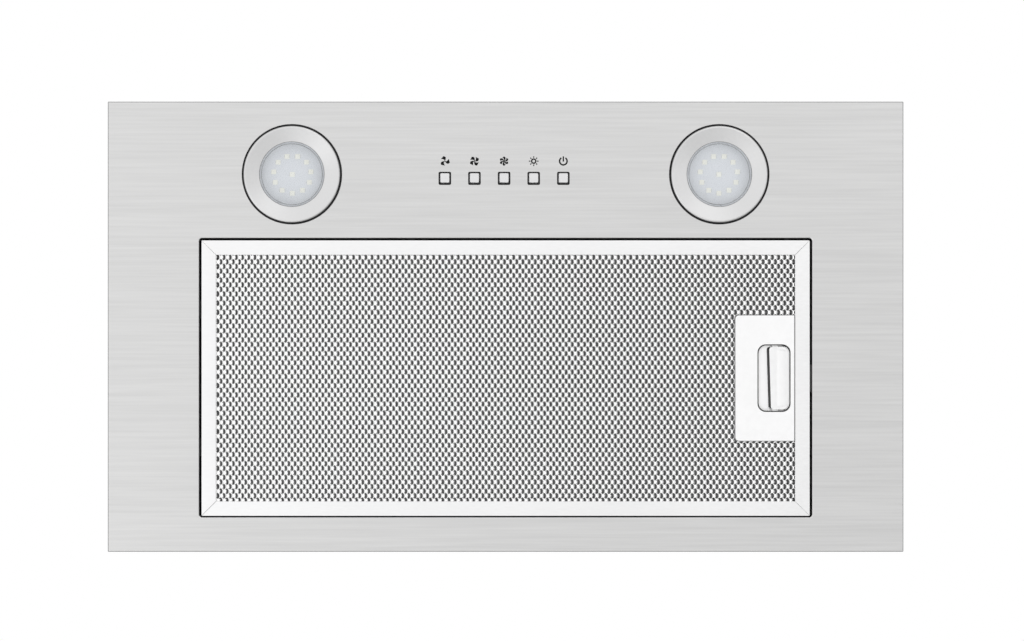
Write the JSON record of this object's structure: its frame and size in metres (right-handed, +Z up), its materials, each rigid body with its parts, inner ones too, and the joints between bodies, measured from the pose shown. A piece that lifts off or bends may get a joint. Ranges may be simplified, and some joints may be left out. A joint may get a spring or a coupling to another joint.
{
  "type": "range hood insert",
  "caption": "Built-in range hood insert: brushed steel face plate with round lamps, push buttons and a hinged mesh grease filter with a slide latch, fan and duct collar above.",
  "frame": {"origin": "middle of the face plate at the level of its folded lip's top, which bears on the cabinet's underside", "axes": "+Z up along the outlet duct, -Y to the front (buttons and lamps), +X to the latch end of the filter"},
  "size_m": [0.525, 0.297, 0.2336],
  "materials": {
    "face_steel": "fine straight brushed grain",
    "bezel_steel": "turned satin",
    "galvanised": "galvanised sheet",
    "spring_steel": "spring steel",
    "black_coat": "black powder coat on steel",
    "duct_plastic": "moulded, fine texture",
    "fan_plastic": "moulded",
    "wheel_plastic": "moulded",
    "motor_case": "die cast",
    "lamination": "stacked sheet",
    "copper": "enamelled wire",
    "bright_steel": "ground",
    "zinc_screw": "zinc plated",
    "black_rubber": "moulded",
    "capacitor_plastic": "gloss",
    "box_plastic": "moulded",
    "lead_sheath": "smooth sheath",
    "black_plastic": "moulded",
    "button_silver": "satin silver lacquer",
    "lamp_lens": "frosted",
    "lamp_case": "spun",
    "led_white": "white board",
    "rail_aluminium": "satin anodised",
    "screen_aluminium": "expanded metal",
    "latch_metal": "satin",
    "slide_plastic": "silver lacquer"
  },
  "bodies": {
    "hood": {"body_front": "galvanised", "body_left": "galvanised", "body_rear": "galvanised", "body_right": "galvanised", "body_roof": "galvanised", "bracket_screws": "zinc_screw", "button_guide": "black_plastic", "button_springs": "spring_steel", "cabinet_clips": "spring_steel", "cable_gland": "duct_plastic", "capacitor": "capacitor_plastic", "capacitor_clip": "galvanised", "control_box": "box_plastic", "control_box_lid": "box_plastic", "face_plate": "face_steel", "filter_seat": "black_coat", "flap_pin": "bright_steel", "front_partition": "galvanised", "inner_leads": "lead_sheath", "lamp_bezels": "bezel_steel", "lamp_clips": "spring_steel", "lamp_housings": "lamp_case", "lamp_lenses": "lamp_lens", "led_boards": "led_white", "motor_bearings": "bright_steel", "motor_bolts": "zinc_screw", "motor_bracket": "galvanised", "motor_front_shell": "motor_case", "motor_mounts": "black_rubber", "motor_rear_shell": "motor_case", "outlet_collar": "duct_plastic", "scroll_left": "fan_plastic", "scroll_right": "fan_plastic", "scroll_screws": "zinc_screw", "short_screws": "zinc_screw", "stator_core": "lamination", "stator_windings": "copper", "switch_block": "black_plastic", "terminal_block": "box_plastic"},
    "fan": {"wheel_hub": "wheel_plastic", "wheel_blades": "wheel_plastic", "wheel_rings": "wheel_plastic", "motor_shaft": "bright_steel", "rotor_core": "lamination"},
    "filter": {"filter_rails": "rail_aluminium", "filter_screen_lower": "screen_aluminium", "filter_screen_upper": "screen_aluminium", "filter_core": "screen_aluminium", "filter_pegs": "black_coat", "latch_cover": "latch_metal", "latch_tray": "latch_metal", "latch_spring": "spring_steel"},
    "latch": {"latch_slide": "slide_plastic"},
    "front_flap": {"flap_front": "duct_plastic"},
    "rear_flap": {"flap_rear": "duct_plastic"},
    "low_speed_button": {"low_speed_button": "button_silver"},
    "middle_speed_button": {"middle_speed_button": "button_silver"},
    "high_speed_button": {"high_speed_button": "button_silver"},
    "lamp_button": {"lamp_button": "button_silver"},
    "power_button": {"power_button": "button_silver"}
  },
  "joints": [
    {"name": "fan_spin", "type": "hinge", "parent": "hood", "child": "fan", "pos_m": [0, 0.036, 0.096], "axis": [1, 0, 0], "continuous": true},
    {"name": "filter_swing", "type": "hinge", "parent": "hood", "child": "filter", "pos_m": [-0.20485, 0.03395, -0.0029], "axis": [0, 1, 0], "range_deg": [0, 30]},
    {"name": "latch_pull", "type": "slide", "parent": "filter", "child": "latch", "axis": [-1, 0, 0], "range_m": [0, 0.0055], "stiffness_N_per_m": 300, "springref_m": -0.003, "deforming": ["latch_spring"]},
    {"name": "front_flap_swing", "type": "hinge", "parent": "hood", "child": "front_flap", "pos_m": [0, 0, 0.19], "axis": [-1, 0, 0], "range_deg": [0, 80]},
    {"name": "rear_flap_swing", "type": "hinge", "parent": "hood", "child": "rear_flap", "pos_m": [0, 0, 0.19], "axis": [1, 0, 0], "range_deg": [0, 80]},
    {"name": "low_speed_press", "type": "slide", "parent": "hood", "child": "low_speed_button", "axis": [0, 0, 1], "range_m": [0, 0.003], "stiffness_N_per_m": 400, "springref_m": -0.002, "deforming": ["button_springs"]},
    {"name": "middle_speed_press", "type": "slide", "parent": "hood", "child": "middle_speed_button", "axis": [0, 0, 1], "range_m": [0, 0.003], "stiffness_N_per_m": 400, "springref_m": -0.002, "deforming": ["button_springs"]},
    {"name": "high_speed_press", "type": "slide", "parent": "hood", "child": "high_speed_button", "axis": [0, 0, 1], "range_m": [0, 0.003], "stiffness_N_per_m": 400, "springref_m": -0.002, "deforming": ["button_springs"]},
    {"name": "lamp_press", "type": "slide", "parent": "hood", "child": "lamp_button", "axis": [0, 0, 1], "range_m": [0, 0.003], "stiffness_N_per_m": 400, "springref_m": -0.002, "deforming": ["button_springs"]},
    {"name": "power_press", "type": "slide", "parent": "hood", "child": "power_button", "axis": [0, 0, 1], "range_m": [0, 0.003], "stiffness_N_per_m": 400, "springref_m": -0.002, "deforming": ["button_springs"]}
  ]
}
